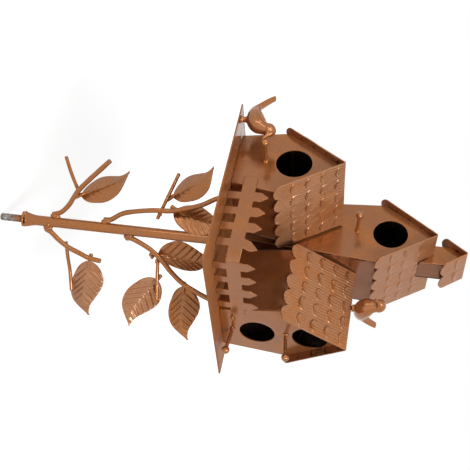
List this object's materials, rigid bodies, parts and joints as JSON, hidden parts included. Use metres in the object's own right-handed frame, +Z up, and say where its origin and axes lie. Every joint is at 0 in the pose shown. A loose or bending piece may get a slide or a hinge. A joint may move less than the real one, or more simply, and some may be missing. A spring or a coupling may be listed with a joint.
{
  "type": "birdhouse on pole",
  "caption": "Garden ornament of welded sheet steel: bird houses with scalloped roofs, a picket fence and birds on a square platform, on a pole with branches and leaves and a threaded stud.",
  "frame": {"origin": "centre of the lower end face of the threaded stud, on the pole's axis", "axes": "+Z up along the pole; -Y the side that house A and the tower face; +X the side that house B faces"},
  "size_m": [0.2301, 0.2146, 0.4944],
  "materials": {
    "enamel_platform": "glossy bronze enamel",
    "enamel_wall": "glossy bronze enamel",
    "enamel_roof": "glossy bronze enamel over pressed shingles",
    "enamel_rod": "glossy bronze enamel",
    "enamel_bird": "glossy bronze enamel",
    "enamel_leaf": "glossy bronze enamel over pressed veins",
    "bare_steel": "bare threaded steel"
  },
  "bodies": {
    "root": {"platform": "enamel_platform", "pole": "enamel_rod", "threaded_stud": "bare_steel", "house_a_walls": "enamel_wall", "house_a_roof": "enamel_roof", "house_a_perch": "enamel_rod", "house_b_walls": "enamel_wall", "house_b_roof": "enamel_roof", "house_b_lower_perch": "enamel_rod", "house_b_upper_perch": "enamel_rod", "tower_walls": "enamel_wall", "tower_roof": "enamel_roof", "tower_perch": "enamel_rod", "chimney_walls": "enamel_wall", "chimney_roof": "enamel_roof", "fence": "enamel_wall", "bird_1": "enamel_bird", "bird_2": "enamel_bird", "branch_1": "enamel_rod", "twig_1": "enamel_rod", "branch_2": "enamel_rod", "twig_2": "enamel_rod", "branch_3": "enamel_rod", "twig_3": "enamel_rod", "branch_4": "enamel_rod", "twig_4": "enamel_rod", "leaf_1": "enamel_leaf", "leaf_2": "enamel_leaf", "leaf_3": "enamel_leaf", "leaf_4": "enamel_leaf", "leaf_5": "enamel_leaf", "leaf_6": "enamel_leaf", "leaf_7": "enamel_leaf"}
  },
  "joints": []
}
